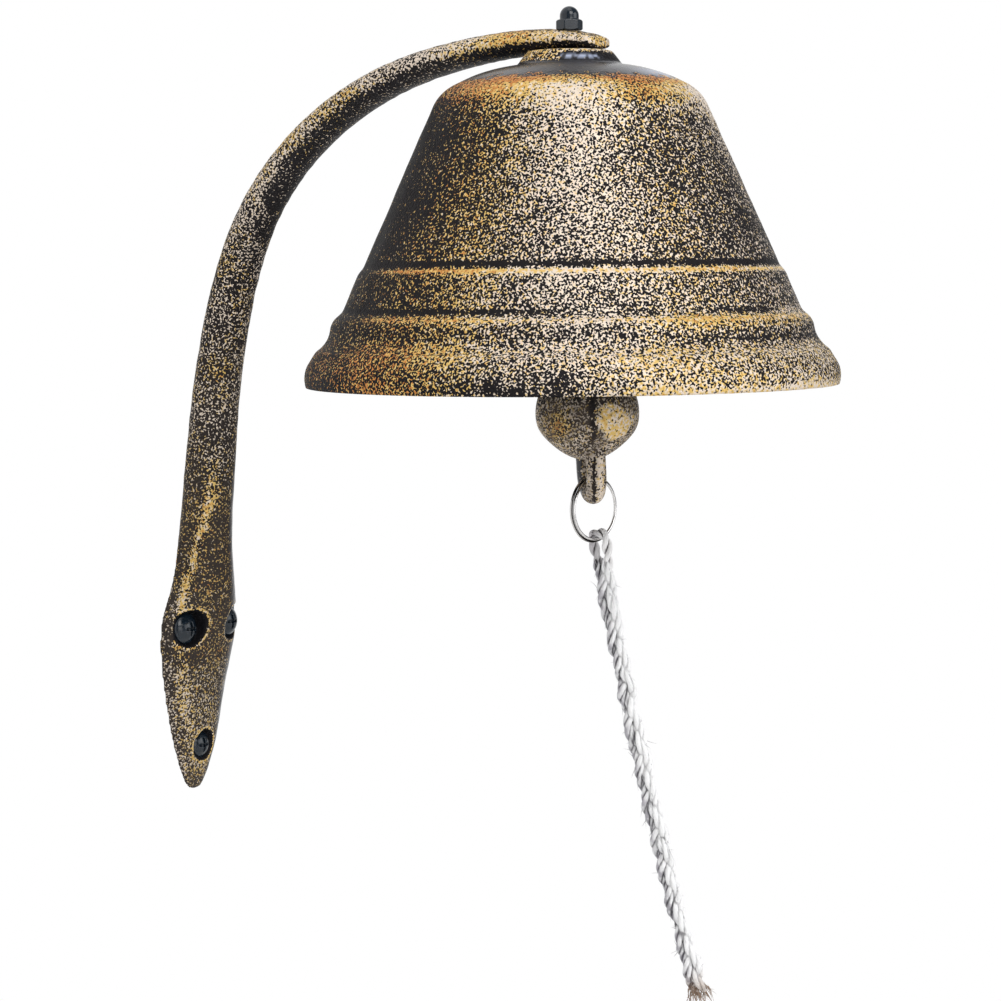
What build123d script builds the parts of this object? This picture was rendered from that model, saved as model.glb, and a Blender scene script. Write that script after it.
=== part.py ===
from build123d import *

import os
from math import asin, cos, pi, radians, sin, sqrt, tan

os.makedirs("parts", exist_ok=True)

# A cast wall bell on a swan-neck bracket. The wall is the plane Y = 0 and the object stands out from it
# along -Y. Heights are measured from the line through the two upper wall screws. Sizes are millimetres.

# Wall pad of the bracket
pad_half_width = 17.9
pad_drop = 54.6
pad_tip_radius = 5.2
pad_tip_aside = -1.4
pad_crown = 10.6
screw_spacing = 22.0
lower_screw_drop = 40.0
screw_clearance = 0.25
head_clearance = 0.7

# Swan neck
bell_reach = 145.0
pad_root = 24.0
arm_height = 182.8
arm_half_width = 7.6
arm_half_depth = 6.5
tongue_half_width = 7.3
tongue_half_depth = 3.2
tongue_overhang = 12.6
tongue_droop = 1.3
tongue_trim = 0.3
tongue_taper = 0.4
tongue_side_room = 0.2
flat_cut = 6.0
flat_margin = 1.2

# Bell
bell_radius = 80.0
bell_wall = 4.6
crown_wall = 5.6
lip_height = 10.5
lip_flare = 3.3
lip_edge_height = 2.4
lip_edge_tuck = 0.4
lip_face_tuck = 0.9
cove_height = 7.4
cove_depth = 4.6
lower_ledge_inset = 9.0
lower_ledge_height = 20.0
upper_ledge_inset = 16.4
upper_ledge_height = 33.5
ledge_step = 2.6
band_foot_rise = 2.2
cone_foot_step = 1.6
cone_foot_rise = 1.8
ledge_foot_fillet = 1.0
ledge_edge_fillet = 0.7
shoulder_inset = 38.6
shoulder_height = 81.5
shoulder_bow = (3.1, 4.9)
shoulder_run = 7.8
crown_height = 94.6
crown_edge_drop = 5.1
crown_bow_drop = 1.9
hollow_bow = (13.4, 2.2)
boss_height = 4.2
boss_radius = 15.8
boss_top_radius = 12.6

# Hanger bolt and what it clamps
bolt_radius = 2.0
bolt_clearance = 0.25
thread_clearance = 0.03
bolt_chamfer = 0.5
nut_flats = 7.0
nut_height = 3.2
nut_chamfer = 0.45
nut_sink = 0.35
nut_turn = 8.0
cap_nut_dome_radius = 2.85
cap_nut_height = 7.2
cap_nut_end_room = 0.3
washer_radius = 6.0
washer_thickness = 1.0
hanger_drop = 32.0
hanger_eye_radius = 6.5
hanger_turn = 47.0

# Clapper, one casting with an eye at each end
clapper_lean = 3.52
clapper_length = 75.6
ball_radius = 15.6
rod_radius = 3.2
top_eye_radius = 6.7
top_eye_section = 2.5
lower_eye_radius = 6.6
lower_eye_section = 3.0
lower_eye_drop = 17.9
link_gap = 0.3

# Split ring and rope
ring_wire_radius = 0.5
ring_pitch = 1.06
ring_turns = 2
ring_radius = 9.2
ring_turn = 12.3
ring_lean = 1.0
ring_rise = 1.6
rope_radius = 2.9
rope_hang_turn = 15.0
rope_slant = 9.5
rope_loop_strand = 1.5
rope_loop_length = 6.5
rope_loop_sit = 0.5

# Wall screws
screw_shank_radius = 2.0
screw_thread_radius = 1.75
screw_reach = 24.0
screw_point = 4.0
head_radius = 5.1
head_height = 3.6
upper_seat = 5.0
lower_head_radius = 4.2
lower_head_height = 2.6
lower_seat = 1.8
cross_length = 4.6
cross_width = 0.9
cross_depth = 1.5

# Levels that follow from the sizes above
arm_under = arm_height - tongue_half_depth
arm_top = arm_height + tongue_half_depth
boss_top = arm_under
lip_level = boss_top - boss_height - crown_height
nut_seat = arm_top - nut_sink
crown_inside = boss_top - boss_height - crown_wall
pivot_level = boss_top - hanger_drop

# Planes: across the wall, up the middle of the bracket, and the one that the clapper swings in
wall_front = Plane(origin=(0, 0, 0), x_dir=(1, 0, 0), z_dir=(0, -1, 0))
middle = Plane(origin=(0, 0, 0), x_dir=(0, -1, 0), z_dir=(-1, 0, 0))
swing_dir = Vector(cos(radians(hanger_turn)), -sin(radians(hanger_turn)), 0)
hinge_dir = Vector(sin(radians(hanger_turn)), cos(radians(hanger_turn)), 0)
up_dir = Vector(0, 0, 1)
bell_foot = Vector(0, -bell_reach, 0)
pivot = bell_foot + up_dir * pivot_level
bell_axis = Axis((0, -bell_reach, 0), (0, 0, 1))


def write(piece, name):
    """Label a finished piece and write it as its own file."""
    piece.part.label = name
    export_step(piece.part, f"parts/{name}.step")


# The neck's centre line, as shares of the reach and of the rise from the pad's root to the bolt,
# then its width and depth there, as shares of the arm's
neck_rise = arm_height - pad_root
neck_shares = [
    (0.053, 0.131, 1.20, 1.21),
    (0.080, 0.328, 1.11, 1.13),
    (0.128, 0.523, 1.05, 1.05),
    (0.208, 0.693, 0.98, 0.96),
    (0.352, 0.838, 0.97, 0.86),
    (0.543, 0.937, 0.97, 0.78),
    (0.759, 0.987, 0.97, 0.67),
]
neck_points = [(out * bell_reach, pad_root + up * neck_rise) for out, up, wide, deep in neck_shares]
neck_points.append((bell_reach, arm_height))
neck_points.append((bell_reach + tongue_overhang, arm_height - tongue_droop))
neck_sizes = [(wide * arm_half_width, deep * arm_half_depth) for out, up, wide, deep in neck_shares]
neck_sizes.append((tongue_half_width, tongue_half_depth))
neck_sizes.append((tongue_half_width * 0.97, tongue_half_depth * 0.56))

# Level sections of the pad: height, how far aside and how far out the oval's centre is, its half
# width and its half depth
pad_sections = [
    (-pad_drop - pad_tip_radius, 1.15 * pad_tip_aside, 0.0, 0.22 * pad_half_width, 0.13 * pad_crown),
    (-pad_drop + 0.8 * pad_tip_radius, pad_tip_aside, 0.0, 0.38 * pad_half_width, 0.24 * pad_crown),
    (-lower_screw_drop, 0.7 * pad_tip_aside, 0.0, 0.61 * pad_half_width, 0.41 * pad_crown),
    (-0.5 * lower_screw_drop, 0.2 * pad_tip_aside, 0.0, 0.88 * pad_half_width, 0.60 * pad_crown),
    (0.0, 0.0, 0.19 * pad_crown, pad_half_width, 0.81 * pad_crown),
    (0.58 * pad_root, 0.0, 0.41 * pad_crown, 0.67 * pad_half_width, 0.92 * pad_crown),
    (1.17 * pad_root, 0.0, 0.56 * pad_crown, 1.28 * arm_half_width, 1.29 * arm_half_depth),
]

with BuildLine(middle) as neck_line:
    Spline(*neck_points)
neck = neck_line.edges()[0]

with BuildPart() as bracket:
    for height, aside, out, half_width, half_depth in pad_sections:
        with BuildSketch(Plane(origin=(aside, -out, height), x_dir=(1, 0, 0), z_dir=(0, 0, 1))):
            Ellipse(half_width, half_depth)
    for (out, up), (half_width, half_depth) in zip(neck_points, neck_sizes):
        at = neck.param_at_point(Vector(0, -out, up))
        with BuildSketch(Plane(origin=(0, -out, up), x_dir=(1, 0, 0), z_dir=neck % at)):
            Ellipse(half_width, half_depth)
    loft()
    # The leaf's outline stands square to the wall, and clears the neck above it
    with BuildSketch(wall_front):
        with BuildLine():
            clear_of_neck = 3 * pad_half_width
            leaf = [
                (pad_tip_radius, -pad_drop + 0.7 * pad_tip_radius, pad_tip_aside),
                (0.575 * pad_half_width, -lower_screw_drop, 0.65 * pad_tip_aside),
                (0.87 * pad_half_width, -0.5 * lower_screw_drop, 0.2 * pad_tip_aside),
                (0.967 * pad_half_width, -0.15 * lower_screw_drop, 0),
                (0.888 * pad_half_width, 0.17 * pad_root, 0),
                (0.63 * pad_half_width, 0.58 * pad_root, 0),
                (1.36 * arm_half_width, 1.35 * pad_root, 0),
            ]
            right = Spline(*[(aside + wide, height) for wide, height, aside in leaf])
            left = Spline(*[(aside - wide, height) for wide, height, aside in leaf])
            ThreePointArc(left @ 0, (pad_tip_aside, -pad_drop), right @ 0)
            Polyline(
                right @ 1,
                (clear_of_neck, 2 * pad_root),
                (clear_of_neck, 1.2 * arm_height),
                (-clear_of_neck, 1.2 * arm_height),
                (-clear_of_neck, 2 * pad_root),
                left @ 1,
            )
        make_face()
    extrude(amount=1.3 * bell_reach, mode=Mode.INTERSECT)
    # The tongue's end is rounded in plan
    with BuildSketch(Plane.XY.offset(-2 * pad_drop)):
        with BuildLine():
            end = bell_reach + tongue_overhang - tongue_trim
            corner = 0.62 * tongue_half_width
            tip_half = tongue_half_width + tongue_side_room
            root_half = tip_half + tongue_taper
            side = 3 * pad_half_width
            FilletPolyline(
                (side, pad_crown),
                (side, -end + 2.2 * tongue_half_width),
                (root_half, -end + 2.0 * tongue_half_width),
                (tip_half, -end),
                (-tip_half, -end),
                (-root_half, -end + 2.0 * tongue_half_width),
                (-side, -end + 2.2 * tongue_half_width),
                (-side, pad_crown),
                radius=(0, 0, corner, corner, 0, 0),
            )
            Line((-side, pad_crown), (side, pad_crown))
        make_face()
    extrude(amount=3 * arm_height, mode=Mode.INTERSECT)
    # Flats for the bell's boss below and the cap nut above, and the bolt's hole
    with BuildSketch(Plane(origin=(0, -bell_reach, arm_under - flat_cut))):
        Circle(boss_top_radius + flat_margin)
    extrude(amount=flat_cut, mode=Mode.SUBTRACT)
    with BuildSketch(Plane(origin=(0, -bell_reach, nut_seat))):
        Circle(nut_flats * 0.64)
    extrude(amount=flat_cut, mode=Mode.SUBTRACT)
    with BuildSketch(Plane(origin=(0, -bell_reach, arm_under - flat_cut))):
        Circle(bolt_radius + bolt_clearance)
    extrude(amount=2 * (flat_cut + tongue_half_depth), mode=Mode.SUBTRACT)
    # Counterbored screw holes
    hole_radius = screw_shank_radius + screw_clearance
    drill_from = 2 * pad_crown
    for x, z, seat, head in (
        (-screw_spacing / 2, 0, upper_seat, head_radius),
        (screw_spacing / 2, 0, upper_seat, head_radius),
        (0, -lower_screw_drop, lower_seat, lower_head_radius),
    ):
        with Locations(Plane(origin=(x, -drill_from, z), x_dir=(1, 0, 0), z_dir=(0, -1, 0))):
            CounterBoreHole(
                radius=hole_radius,
                counter_bore_radius=head + head_clearance,
                counter_bore_depth=drill_from - seat,
                depth=drill_from + 1,
            )
write(bracket, "bracket")

# The bell is turned about its own axis: one outline for the outside, one for the hollow
profile_plane = Plane(origin=(0, -bell_reach, lip_level), x_dir=(1, 0, 0), z_dir=(0, -1, 0))
lower_ledge = (bell_radius - lower_ledge_inset, lower_ledge_height)
upper_ledge = (bell_radius - upper_ledge_inset, upper_ledge_height)
shoulder = (bell_radius - shoulder_inset, shoulder_height)
lip_edge = (bell_radius - lip_edge_tuck, 0)
lip_face = (bell_radius - lip_face_tuck, 0.62 * lip_height)
lip_top = (bell_radius - lip_flare, lip_height)
cove_top = (lip_top[0] - cove_depth, lip_height + cove_height)
band_foot = (lower_ledge[0] - ledge_step, lower_ledge_height + band_foot_rise)
cone_foot = (upper_ledge[0] - cone_foot_step, upper_ledge_height + cone_foot_rise)
crown_edge = (shoulder[0] - shoulder_run, crown_height - crown_edge_drop)
crown_foot = (boss_radius, crown_height)
boss_edge = (boss_top_radius, crown_height + boss_height)
bore = bolt_radius + bolt_clearance
cone_slope = (cone_foot[0] - shoulder[0]) / (shoulder_height - cone_foot[1])
wall_across = bell_wall * sqrt(1 + cone_slope**2)
hollow_top = crown_height - crown_wall

with BuildPart() as bell:
    with BuildSketch(profile_plane):
        with BuildLine():
            ThreePointArc(lip_edge, (bell_radius, lip_edge_height), lip_face)
            Line(lip_face, lip_top)
            ThreePointArc(
                lip_top,
                (lip_top[0] - 0.72 * cove_depth, lip_height + 0.42 * cove_height),
                cove_top,
            )
            FilletPolyline(
                cove_top,
                lower_ledge,
                band_foot,
                upper_ledge,
                cone_foot,
                shoulder,
                radius=(ledge_edge_fillet, ledge_foot_fillet, ledge_edge_fillet, ledge_foot_fillet),
            )
            ThreePointArc(
                shoulder,
                (shoulder[0] - shoulder_bow[0], shoulder[1] + shoulder_bow[1]),
                crown_edge,
            )
            ThreePointArc(
                crown_edge,
                (0.45 * boss_radius + 0.55 * crown_edge[0], crown_height - crown_bow_drop),
                crown_foot,
            )
            Polyline(
                crown_foot,
                boss_edge,
                (bore, boss_edge[1]),
                (bore, hollow_top),
                (boss_top_radius, hollow_top),
            )
            ThreePointArc(
                (boss_top_radius, hollow_top),
                (shoulder[0] - hollow_bow[0], hollow_top - hollow_bow[1]),
                (shoulder[0] - wall_across, shoulder_height),
            )
            Polyline(
                (shoulder[0] - wall_across, shoulder_height),
                (cone_foot[0] - wall_across, cone_foot[1]),
                (cove_top[0] - bell_wall, cove_top[1]),
                (lip_top[0] - 0.9 * bell_wall, 0.8 * lip_height),
                (bell_radius - bell_wall, 0),
                lip_edge,
            )
        make_face()
    revolve(axis=bell_axis)
write(bell, "bell")

# Hanger bolt: a threaded rod with an eye bent at its foot
bolt_top = nut_seat + cap_nut_height - 0.6 * cap_nut_dome_radius
eye_centre = pivot_level + hanger_eye_radius
eye_plane = Plane(origin=(0, -bell_reach, eye_centre), x_dir=tuple(hinge_dir), z_dir=tuple(swing_dir))
shank_foot = eye_centre + hanger_eye_radius
with BuildPart() as hanger_bolt:
    with BuildSketch(Plane(origin=(0, -bell_reach, shank_foot))):
        Circle(bolt_radius)
    extrude(amount=bolt_top - shank_foot)
    chamfer(hanger_bolt.faces().sort_by(Axis.Z)[-1].edges(), bolt_chamfer)
    with Locations(eye_plane):
        Torus(hanger_eye_radius, bolt_radius)
write(hanger_bolt, "hanger_bolt")

# Cap nut on top of the tongue
nut_corner = nut_flats / sqrt(3)
with BuildPart() as cap_nut:
    with BuildSketch(Plane(origin=(0, -bell_reach, nut_seat))):
        RegularPolygon(nut_flats / 2, 6, major_radius=False, rotation=nut_turn)
    extrude(amount=nut_height)
    with BuildSketch(Plane(origin=(0, -bell_reach, nut_seat), x_dir=(1, 0, 0), z_dir=(0, -1, 0))):
        with BuildLine():
            dome_foot = cap_nut_height - cap_nut_dome_radius
            Polyline(
                (0, 0),
                (nut_flats / 2, 0),
                (nut_corner, nut_chamfer),
                (nut_corner, nut_height - nut_chamfer),
                (nut_flats / 2, nut_height),
                (cap_nut_dome_radius, nut_height),
                (cap_nut_dome_radius, dome_foot),
            )
            CenterArc((0, dome_foot), cap_nut_dome_radius, 0, 90)
            Line((0, cap_nut_height), (0, 0))
        make_face()
    nut_outline = revolve(axis=bell_axis, mode=Mode.PRIVATE)
    with BuildSketch(Plane(origin=(0, -bell_reach, nut_seat + nut_height))):
        Circle(nut_flats)
    extrude(amount=cap_nut_height)
    add(nut_outline, mode=Mode.INTERSECT)
    with BuildSketch(Plane(origin=(0, -bell_reach, nut_seat))):
        Circle(bolt_radius + thread_clearance)
    extrude(amount=bolt_top - nut_seat + cap_nut_end_room, mode=Mode.SUBTRACT)
write(cap_nut, "cap_nut")

# Washer and nut under the crown
with BuildPart() as crown_washer:
    with BuildSketch(Plane(origin=(0, -bell_reach, crown_inside - washer_thickness))):
        Circle(washer_radius)
        Circle(bolt_radius + bolt_clearance, mode=Mode.SUBTRACT)
    extrude(amount=washer_thickness)
write(crown_washer, "crown_washer")

with BuildPart() as crown_nut:
    with BuildSketch(Plane(origin=(0, -bell_reach, crown_inside - washer_thickness - nut_height))):
        RegularPolygon(nut_flats / 2, 6, major_radius=False)
        Circle(bolt_radius + thread_clearance, mode=Mode.SUBTRACT)
    extrude(amount=nut_height)
write(crown_nut, "crown_nut")

# Clapper: its own upright axis leans in the plane it swings in
lean_x = swing_dir * cos(radians(clapper_lean)) + up_dir * sin(radians(clapper_lean))
lean_up = up_dir * cos(radians(clapper_lean)) - swing_dir * sin(radians(clapper_lean))
clapper_face = Plane(origin=tuple(pivot), x_dir=tuple(lean_x), z_dir=tuple(hinge_dir * -1))
clapper_side = Plane(origin=tuple(pivot), x_dir=tuple(hinge_dir), z_dir=tuple(lean_x))
clapper_axis = Axis(tuple(pivot), tuple(lean_up))
top_eye_centre = bolt_radius + link_gap - (top_eye_radius - top_eye_section)
rod_top = top_eye_centre - top_eye_radius
top_eye_plane = Plane(
    origin=tuple(pivot + lean_up * top_eye_centre), x_dir=tuple(lean_x), z_dir=tuple(hinge_dir)
)
eye_bend = -clapper_length - lower_eye_drop
collar_radius = 1.5 * rod_radius
collar_level = -clapper_length + sqrt(ball_radius**2 - collar_radius**2)
with BuildPart() as clapper:
    with BuildSketch(clapper_face):
        with BuildLine():
            Polyline(
                (0, rod_top),
                (0.85 * rod_radius, rod_top),
                (rod_radius, collar_level + collar_radius),
                (collar_radius, collar_level),
            )
            ThreePointArc(
                (collar_radius, collar_level),
                (ball_radius, -clapper_length),
                (0, -clapper_length - ball_radius),
            )
            Line((0, -clapper_length - ball_radius), (0, rod_top))
        make_face()
    revolve(axis=clapper_axis)
    with Locations(top_eye_plane):
        Torus(top_eye_radius, top_eye_section)
    # The lower eye is a bar bent to a U, in the plane square to the swing
    with BuildLine(clapper_side) as eye_line:
        leg_top = eye_bend + 0.4 * lower_eye_drop
        Line((-lower_eye_radius, leg_top), (-lower_eye_radius, eye_bend))
        ThreePointArc(
            (-lower_eye_radius, eye_bend),
            (0, eye_bend - lower_eye_radius),
            (lower_eye_radius, eye_bend),
        )
        Line((lower_eye_radius, eye_bend), (lower_eye_radius, leg_top))
    with BuildSketch(Plane(origin=eye_line.line @ 0, x_dir=tuple(hinge_dir), z_dir=eye_line.line % 0)):
        Circle(lower_eye_section)
    sweep(path=eye_line.line)
write(clapper, "clapper")

# Split ring: flat turns of one wire, hung from the lower eye
ring_side = Vector(cos(radians(ring_turn)), -sin(radians(ring_turn)), 0)
ring_normal = Vector(sin(radians(ring_turn)), cos(radians(ring_turn)), 0)
bar_top = eye_bend - lower_eye_radius + lower_eye_section
ring_top = pivot + lean_up * (bar_top + ring_wire_radius + ring_rise)
ring_centre = (
    ring_top
    - up_dir * ring_radius * cos(radians(ring_lean))
    + ring_side * ring_radius * sin(radians(ring_lean))
)
ring_width = ring_turns * ring_pitch
with BuildPart() as pull_ring:
    with BuildLine() as coil:
        Helix(
            pitch=ring_pitch,
            height=ring_width,
            radius=ring_radius,
            center=tuple(ring_centre - ring_normal * (ring_width / 2)),
            direction=tuple(ring_normal),
        )
    with BuildSketch(Plane(origin=coil.line @ 0, z_dir=coil.line % 0)):
        Circle(ring_wire_radius)
    sweep(path=coil.line, is_frenet=True)
write(pull_ring, "pull_ring")

# The rope hangs by a loop that goes up through the ring and down again
rope_up = up_dir * cos(radians(rope_slant)) - swing_dir * sin(radians(rope_slant))
ring_foot = (
    ring_centre
    - up_dir * ring_radius * cos(radians(rope_hang_turn))
    + ring_side * ring_radius * sin(radians(rope_hang_turn))
)
loop_top = ring_foot - rope_up * rope_loop_sit
loop_foot = loop_top - rope_up * rope_loop_length

# The rope's route from the loop's foot: distances out along the swing plane, down, and aside
rope_route = [
    (0.0, 0.0, 0.0),
    (2.5, 15.0, 0.3),
    (6.2, 33.8, -0.3),
    (10.5, 55.8, 0.4),
    (16.2, 79.3, -0.3),
    (21.2, 101.8, 0.3),
    (25.9, 120.3, -0.2),
    (29.5, 134.8, 0.0),
]
route = [loop_foot + swing_dir * out - up_dir * down + hinge_dir * aside for out, down, aside in rope_route]
bend_radii = []
for before, at, after in zip(route, route[1:], route[2:]):
    turn = radians((at - before).get_angle(after - at))
    bend_radii.append(0.45 * min((at - before).length, (after - at).length) / tan(turn / 2))
print("rope radii", [round(r) for r in bend_radii])
with BuildPart() as rope:
    with BuildLine() as rope_line:
        FilletPolyline(*route, radius=bend_radii)
    with BuildSketch(Plane(origin=rope_line.line @ 0, z_dir=rope_line.line % 0)):
        Circle(rope_radius)
    sweep(path=rope_line.line)
rope_length = sum(edge.length for edge in rope_line.edges())
print(
    "rope length",
    round(rope_length, 1),
    "volume",
    round(rope.part.volume, 1),
    "section times length",
    round(pi * rope_radius**2 * rope_length, 1),
)
write(rope, "rope")

# The loop itself, wide enough for the ring's wires
rope_loop_radius = rope_loop_strand + ring_width / 2 + ring_wire_radius + link_gap
rope_end_up = (route[0] - route[1]).normalized()
loop_normal = ring_normal.cross(rope_end_up)
loop_plane = Plane(
    origin=tuple(loop_foot + rope_end_up * rope_loop_length),
    x_dir=tuple(rope_end_up.cross(loop_normal)),
    z_dir=tuple(loop_normal),
)
with BuildPart() as rope_eye:
    with BuildLine(loop_plane) as loop_line:
        Line((-rope_loop_radius, -rope_loop_length), (-rope_loop_radius, 0))
        ThreePointArc((-rope_loop_radius, 0), (0, rope_loop_radius), (rope_loop_radius, 0))
        Line((rope_loop_radius, 0), (rope_loop_radius, -rope_loop_length))
    with BuildSketch(Plane(origin=loop_line.line @ 0, z_dir=loop_line.line % 0)):
        Circle(rope_loop_strand)
    sweep(path=loop_line.line)
write(rope_eye, "rope_eye")


def wall_screw(name, x, z, seat, radius, height):
    """A dome-headed wood screw: head, plain shank through the pad, threaded core and point in the wall."""
    dome = 0.75 * height
    dome_radius = (radius**2 + dome**2) / (2 * dome)
    half_angle = asin(radius / dome_radius) / 2
    with BuildPart() as screw:
        with BuildSketch(Plane(origin=(x, 0, z), x_dir=(1, 0, 0), z_dir=(0, 0, 1))):
            with BuildLine():
                Polyline(
                    (0, -seat - height),
                    (0, screw_reach + screw_point),
                    (screw_thread_radius, screw_reach),
                    (screw_thread_radius, 0),
                    (screw_shank_radius, 0),
                    (screw_shank_radius, -seat),
                    (radius, -seat),
                    (radius, -seat - height + dome),
                )
                ThreePointArc(
                    (radius, -seat - height + dome),
                    (dome_radius * sin(half_angle), -seat - height + dome_radius * (1 - cos(half_angle))),
                    (0, -seat - height),
                )
            make_face()
        revolve(axis=Axis((x, 0, z), (0, 1, 0)))
        with BuildSketch(Plane(origin=(x, -seat - height, z), x_dir=(1, 0, 0), z_dir=(0, 1, 0))):
            Rectangle(cross_length, cross_width)
            Rectangle(cross_width, cross_length)
        extrude(amount=cross_depth, mode=Mode.SUBTRACT)
    write(screw, name)


wall_screw("wall_screw_left", -screw_spacing / 2, 0, upper_seat, head_radius, head_height)
wall_screw("wall_screw_right", screw_spacing / 2, 0, upper_seat, head_radius, head_height)
wall_screw("wall_screw_lower", 0, -lower_screw_drop, lower_seat, lower_head_radius, lower_head_height)

print("pivot", pivot, "hinge", hinge_dir)
print("ring top", ring_top, "ring side", ring_side)
print("rope pivot", loop_top, "axis", loop_plane.z_dir)
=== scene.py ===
import bpy
import bmesh
import numpy as np
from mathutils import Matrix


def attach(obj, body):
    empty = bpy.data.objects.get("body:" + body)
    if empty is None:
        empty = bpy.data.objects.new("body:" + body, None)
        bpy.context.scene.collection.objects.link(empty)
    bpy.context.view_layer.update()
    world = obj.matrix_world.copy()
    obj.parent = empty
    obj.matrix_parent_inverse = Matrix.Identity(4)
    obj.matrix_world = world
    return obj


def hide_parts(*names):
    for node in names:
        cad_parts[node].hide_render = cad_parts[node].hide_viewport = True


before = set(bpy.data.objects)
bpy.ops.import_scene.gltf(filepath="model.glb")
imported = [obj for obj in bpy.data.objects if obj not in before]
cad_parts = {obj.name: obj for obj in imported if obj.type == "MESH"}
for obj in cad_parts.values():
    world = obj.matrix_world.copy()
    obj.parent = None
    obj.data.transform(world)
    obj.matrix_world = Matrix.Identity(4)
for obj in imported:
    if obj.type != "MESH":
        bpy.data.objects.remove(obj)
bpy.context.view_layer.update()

# Wall bell on a swan-neck bracket, in metres. The wall is the plane Y = 0, the bell stands out along -Y.
scene = bpy.context.scene
mm = 0.001
tau = 2 * np.pi


# Small helpers for surfaces made with numpy

def smoothStep(low, high, x):  # 0 below low, 1 above high, a smooth S between them
    t = np.clip((x - low) / (high - low), 0, 1)
    return t * t * (3 - 2 * t)


def bump(x, centre, width):  # 1 at the centre, falling to 0 at a width either side
    return np.exp(-((x - centre) / width) ** 2)


def waves(points, size, seed, count=9):  # soft noise of about -1..1: a sum of sine waves in random directions
    rng = np.random.default_rng(seed)
    total = np.zeros(len(points))
    for _ in range(count):
        way = rng.normal(size=3)
        way /= np.linalg.norm(way)
        pitch = size * rng.uniform(0.7, 1.6)
        total += np.sin(points @ way / pitch * tau + rng.uniform(0, tau))
    return total / np.sqrt(count)


def unit(v):
    return v / np.linalg.norm(v, axis=-1, keepdims=True)


def evenly(points, step):  # the same line with points a step apart, and how far along it each one lies
    run = np.concatenate([[0], np.cumsum(np.linalg.norm(np.diff(points, axis=0), axis=1))])
    at = np.linspace(0, run[-1], int(round(run[-1] / step)) + 1)
    return np.stack([np.interp(at, run, column) for column in points.T], 1), at


def gridFaces(rows, columns, closeRows=False):  # quads of a grid that closes round its columns, by index
    rr, cc = np.meshgrid(np.arange(rows if closeRows else rows - 1), np.arange(columns), indexing="ij")
    r2, c2 = (rr + 1) % rows, (cc + 1) % columns
    quads = np.stack([rr * columns + cc, rr * columns + c2, r2 * columns + c2, r2 * columns + cc], -1)
    return quads.reshape(-1, 4)


def closedTube(path, radius, sides, upHint):
    # A circle carried along the path, square to it at each point, with a point at each end. The radius is
    # one value, or an array of rings x 1 x 1, or of rings x sides x 1
    along = unit(np.gradient(path, axis=0))
    side = unit(np.cross(along, upHint))
    up = np.cross(side, along)
    turn = np.linspace(0, tau, sides, endpoint=False)
    ring = np.cos(turn)[None, :, None] * side[:, None, :] + np.sin(turn)[None, :, None] * up[:, None, :]
    rings = path[:, None, :] + radius * ring
    verts = np.vstack([rings.reshape(-1, 3), path[:1], path[-1:]])
    k, rows = np.arange(sides), len(path)
    after, lastRing = (k + 1) % sides, (rows - 1) * sides
    first = np.stack([np.full(sides, rows * sides), after, k], -1)
    last = np.stack([np.full(sides, rows * sides + 1), lastRing + k, lastRing + after], -1)
    return verts, [*gridFaces(rows, sides), *first, *last]


def meshPoints(mesh):
    flat = np.empty(len(mesh.vertices) * 3)
    mesh.vertices.foreach_get("co", flat)
    return flat.reshape(-1, 3)


def meshNormals(mesh):
    flat = np.empty(len(mesh.vertices) * 3)
    mesh.vertex_normals.foreach_get("vector", flat)
    return flat.reshape(-1, 3)


def placed(mesh, name, body, material):  # the mesh as a smooth piece that rides on its body
    mesh.name = name
    mesh.materials.clear()
    mesh.materials.append(material)
    mesh.polygons.foreach_set("use_smooth", np.full(len(mesh.polygons), True))
    piece = bpy.data.objects.new(name, mesh)
    scene.collection.objects.link(piece)
    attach(piece, body)
    return piece


def newPiece(name, verts, faces, body, slotName, material):
    mesh = bpy.data.meshes.new(name)
    mesh.from_pydata(np.asarray(verts).tolist(), [], [list(map(int, f)) for f in faces])
    return placed(mesh, name, body, material)


def evenedPiece(node, name, body, material, voxel, smoothing):
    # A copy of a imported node, which it stands for: merged, rebuilt on an even grid and smoothed, as cast
    # edges are
    copy = bpy.data.objects.new(name + "Grid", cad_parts[node].data.copy())
    scene.collection.objects.link(copy)
    work = bmesh.new()
    work.from_mesh(copy.data)
    bmesh.ops.remove_doubles(work, verts=work.verts, dist=1e-6)
    work.to_mesh(copy.data)
    work.free()
    grid = copy.modifiers.new("grid", "REMESH")
    grid.mode, grid.voxel_size, grid.use_smooth_shade = "VOXEL", voxel, True
    soften = copy.modifiers.new("soften", "SMOOTH")
    soften.factor, soften.iterations = 0.5, smoothing
    made = bpy.data.meshes.new_from_object(copy.evaluated_get(bpy.context.evaluated_depsgraph_get()))
    bpy.data.objects.remove(copy)
    piece = placed(made, name, body, material)
    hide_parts(node)
    return piece


def giveValues(piece, **values):  # one float attribute for each name, a value per vertex
    for name, value in values.items():
        layer = piece.data.attributes.new(name, "FLOAT", "POINT")
        layer.data.foreach_set("value", np.broadcast_to(value, len(piece.data.vertices)).astype(np.float32))


# The camera stands where the photograph was taken from

cameraView = {
    "azimuth": -58.48,  # degrees round the bell
    "pitch": 4.854,  # degrees down
    "roll": 0.546,
    "lens": 99.05,
    "distance": 0.8249,
    "aside": 0.02175,
    "aimHeight": 0.11619,
    "bellReach": 0.145,
}


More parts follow.
